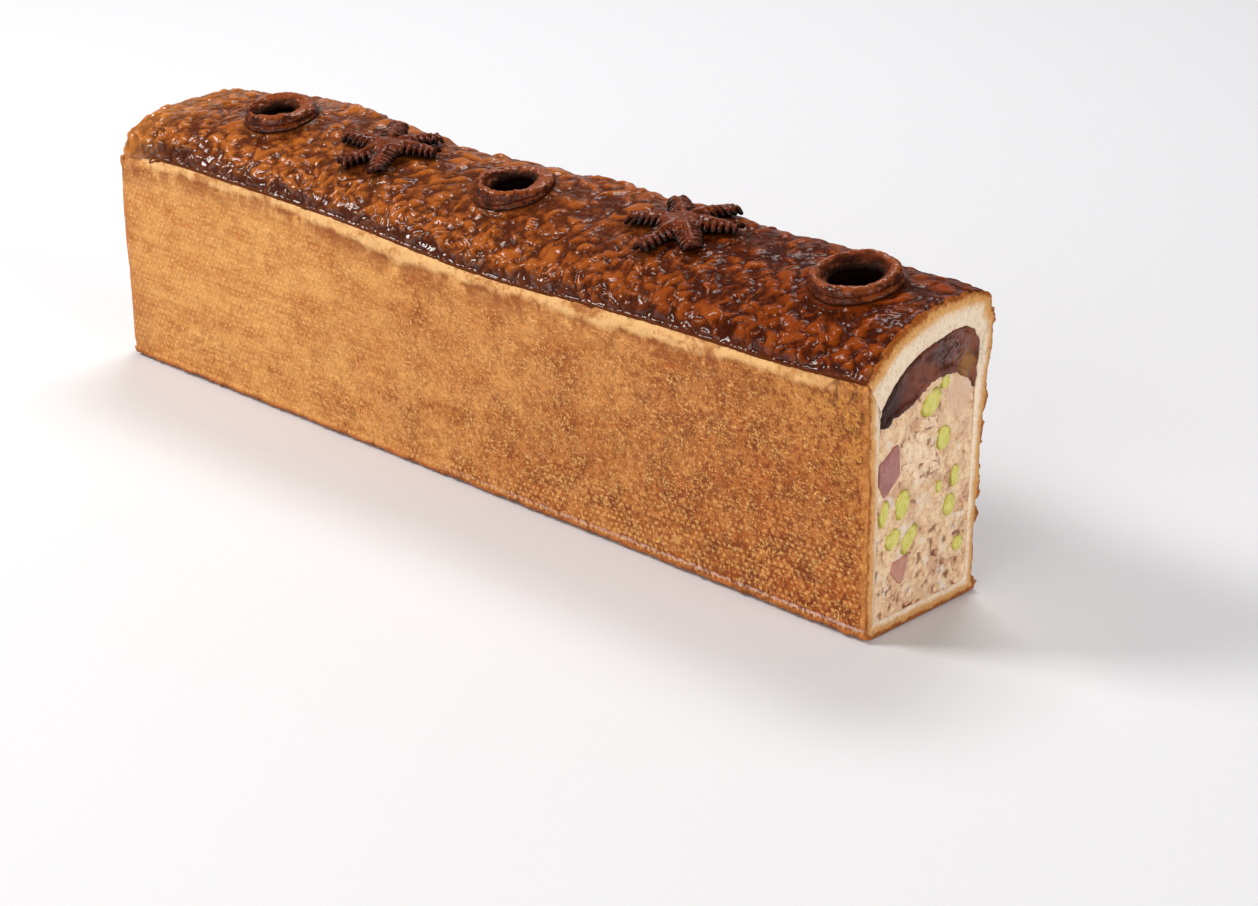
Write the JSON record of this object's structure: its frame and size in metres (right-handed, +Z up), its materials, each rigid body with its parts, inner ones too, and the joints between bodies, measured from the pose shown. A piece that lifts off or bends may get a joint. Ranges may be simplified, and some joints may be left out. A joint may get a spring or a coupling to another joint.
{
  "type": "pate en croute",
  "caption": "Long pate en croute cut across at one end, with a vaulted glazed pastry lid, steam chimneys, pastry stars, jelly and pistachio forcemeat.",
  "frame": {"origin": "under the middle of the loaf's box, on the surface that it stands on", "axes": "+X along the loaf to the cut face, +Y to the back long side, where the lid is highest, +Z up"},
  "size_m": [0.417, 0.0706, 0.1247],
  "materials": {
    "baked_crust": "baked shortcrust pastry, golden tan and dry, stands in as matte plastic",
    "glazed_crust": "egg-washed pastry baked to a shiny mahogany, stands in as gloss plastic",
    "dark_glazed_pastry": "egg-washed pastry baked dark brown, stands in as gloss plastic",
    "brown_jelly": "set meat jelly, dark brown and wet, stands in as gloss plastic",
    "forcemeat": "cooked minced meat, pale beige and moist, stands in as matte plastic",
    "pale_poultry": "cooked poultry pieces, cream, stands in as matte plastic",
    "pink_meat": "cooked cured meat, dusty rose, stands in as matte plastic",
    "pistachio": "cut pistachio kernels, yellow-green, stands in as matte plastic"
  },
  "bodies": {
    "root": {"pastry_case": "baked_crust", "pastry_lid": "glazed_crust", "chimney_1": "dark_glazed_pastry", "chimney_2": "dark_glazed_pastry", "chimney_3": "dark_glazed_pastry", "pastry_star_1": "dark_glazed_pastry", "pastry_star_2": "dark_glazed_pastry", "jelly": "brown_jelly", "forcemeat": "forcemeat", "poultry_chunk_1": "pale_poultry", "poultry_chunk_2": "pale_poultry", "pink_meat_1": "pink_meat", "pink_meat_2": "pink_meat", "pistachio_01": "pistachio", "pistachio_02": "pistachio", "pistachio_03": "pistachio", "pistachio_04": "pistachio", "pistachio_05": "pistachio", "pistachio_06": "pistachio", "pistachio_07": "pistachio", "pistachio_08": "pistachio", "pistachio_09": "pistachio", "pistachio_10": "pistachio", "pistachio_11": "pistachio"}
  },
  "joints": []
}
